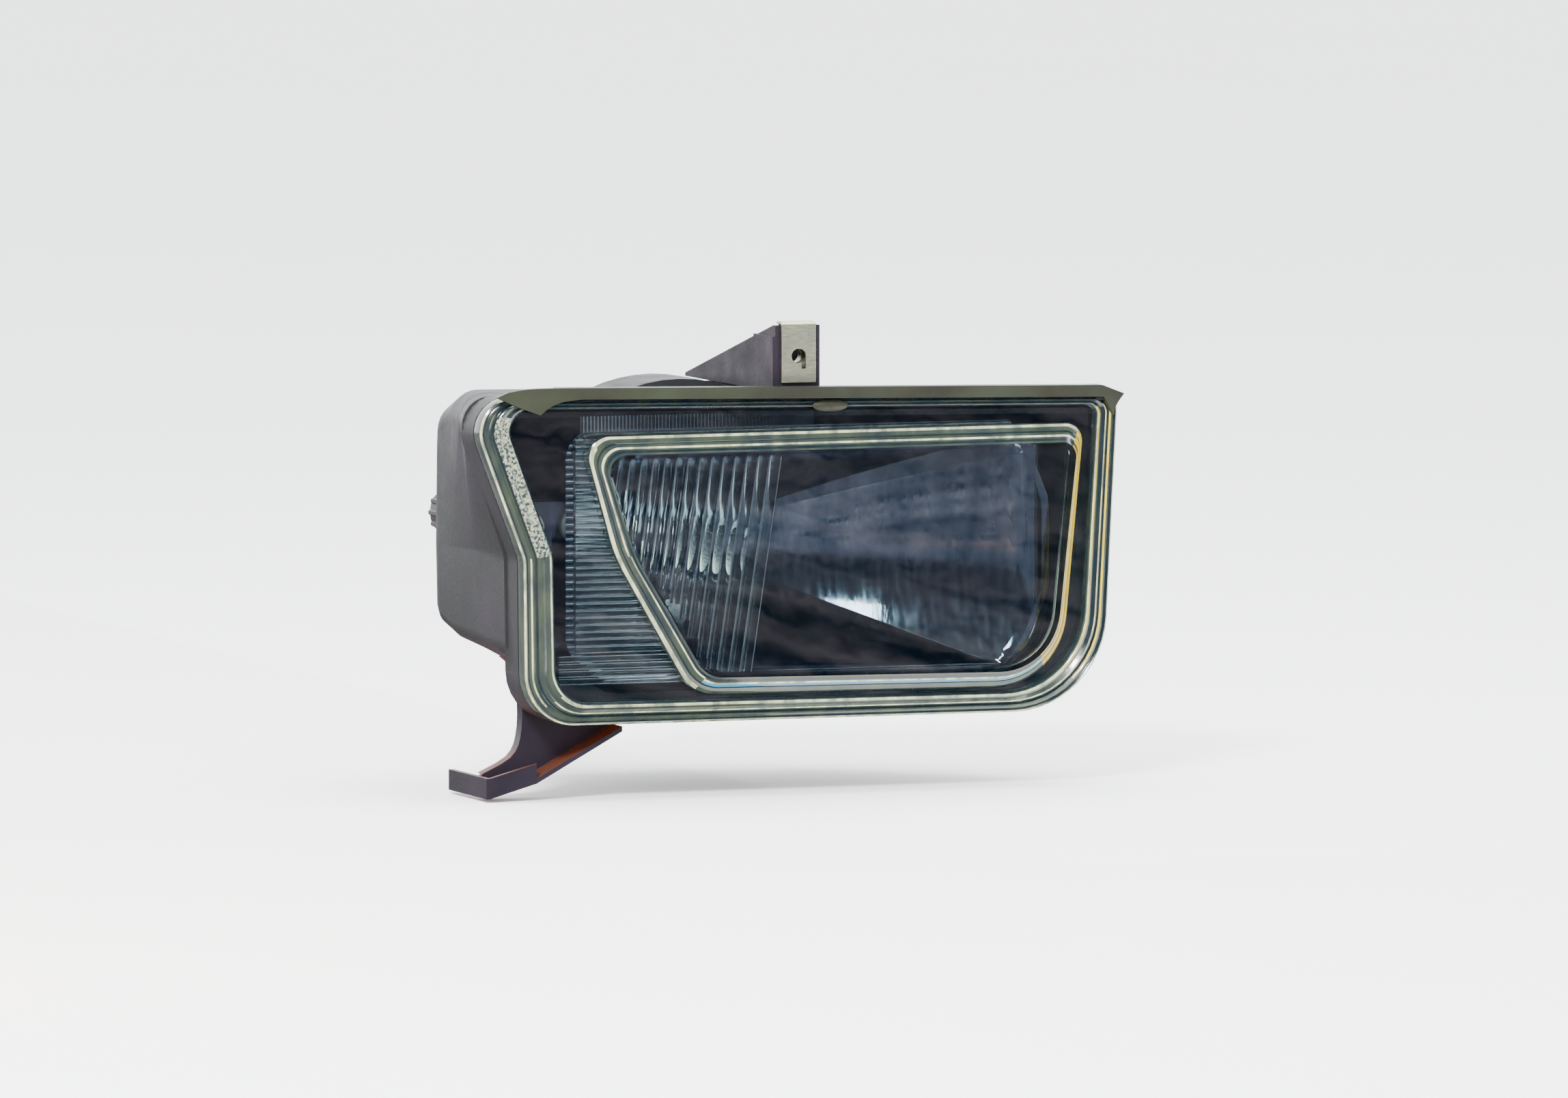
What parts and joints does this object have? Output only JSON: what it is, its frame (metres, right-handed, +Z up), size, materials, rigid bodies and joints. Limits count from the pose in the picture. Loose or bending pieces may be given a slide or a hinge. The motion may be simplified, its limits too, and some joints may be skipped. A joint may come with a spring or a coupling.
{
  "type": "fog light",
  "caption": "Rectangular front fog light with a fluted glass lens, tilting reflector, aim adjuster, rear cap and two fixing brackets.",
  "frame": {"origin": "on the front face of the upper clip nut, 6 mm below the centre of its screw hole", "axes": "+Z up, +X to the right seen from the front, +Y back into the car, so the lens faces -Y"},
  "size_m": [0.1913, 0.1029, 0.1321],
  "materials": {
    "dark_moulding": "fine moulded grain",
    "dark_trim": "satin",
    "black_plastic": "satin",
    "white_nylon": "satin",
    "soft_rubber": "matt",
    "lamp_glass": "pressed and fluted",
    "bulb_glass": "clear",
    "mirror_coat": "vacuum metallised",
    "metallised_plastic": "vacuum metallised inside",
    "zinc_steel": "yellow passivated zinc",
    "bright_steel": "bright zinc",
    "brass": "stamped",
    "red_wire": "satin insulation",
    "black_wire": "satin insulation"
  },
  "bodies": {
    "housing_group": {"housing": "dark_moulding", "lens": "lamp_glass", "lens_seal": "soft_rubber", "top_trim": "dark_trim", "trim_clip": "dark_trim", "upper_bracket": "dark_moulding", "upper_clip_nut": "zinc_steel", "upper_bracket_screw_front": "bright_steel", "upper_bracket_screw_rear": "bright_steel", "lower_bracket": "dark_moulding", "lower_bracket_rivet_left": "bright_steel", "lower_bracket_rivet_right": "bright_steel", "pivot_pin_left": "bright_steel", "pivot_pin_right": "bright_steel", "adjuster_bush": "soft_rubber", "connector_socket": "black_plastic", "terminal_live": "brass", "terminal_ground": "brass", "live_lead": "red_wire", "ground_lead": "black_wire", "vent_elbow": "soft_rubber"},
    "reflector_group": {"reflector": "metallised_plastic", "bulb_glass": "bulb_glass", "bulb_base": "bright_steel", "bulb_terminal": "brass", "bulb_shield": "mirror_coat", "shield_rivet": "bright_steel", "adjuster_nut": "white_nylon"},
    "adjuster": {"adjuster_screw": "bright_steel", "adjuster_knob": "black_plastic", "adjuster_retainer": "bright_steel"},
    "cap": {"rear_cap": "black_plastic", "cap_seal": "soft_rubber"},
    "spring_clip": {"bulb_clip": "bright_steel"}
  },
  "joints": [
    {"name": "adjuster_turn", "type": "hinge", "parent": "housing_group", "child": "adjuster", "pos_m": [-0.0735, 0.0731, -0.0415], "axis": [0, 1, 0], "range_deg": [-720, 720]},
    {"name": "reflector_aim", "type": "hinge", "parent": "housing_group", "child": "reflector_group", "pos_m": [-0.0015, 0.0241, -0.072], "axis": [1, 0, 0], "range_deg": [-3, 3]},
    {"name": "rear_cap_twist", "type": "hinge", "parent": "housing_group", "child": "cap", "pos_m": [-0.0185, 0.0861, -0.049], "axis": [0, 1, 0], "range_deg": [0, 36]},
    {"name": "bulb_clip_open", "type": "hinge", "parent": "reflector_group", "child": "spring_clip", "pos_m": [-0.0315, 0.0675, -0.049], "axis": [0, 0, 1], "range_deg": [0, 60]}
  ],
  "couplings": [
    {"joint": "adjuster_turn", "follows": "reflector_aim", "ratio": 239.55}
  ]
}
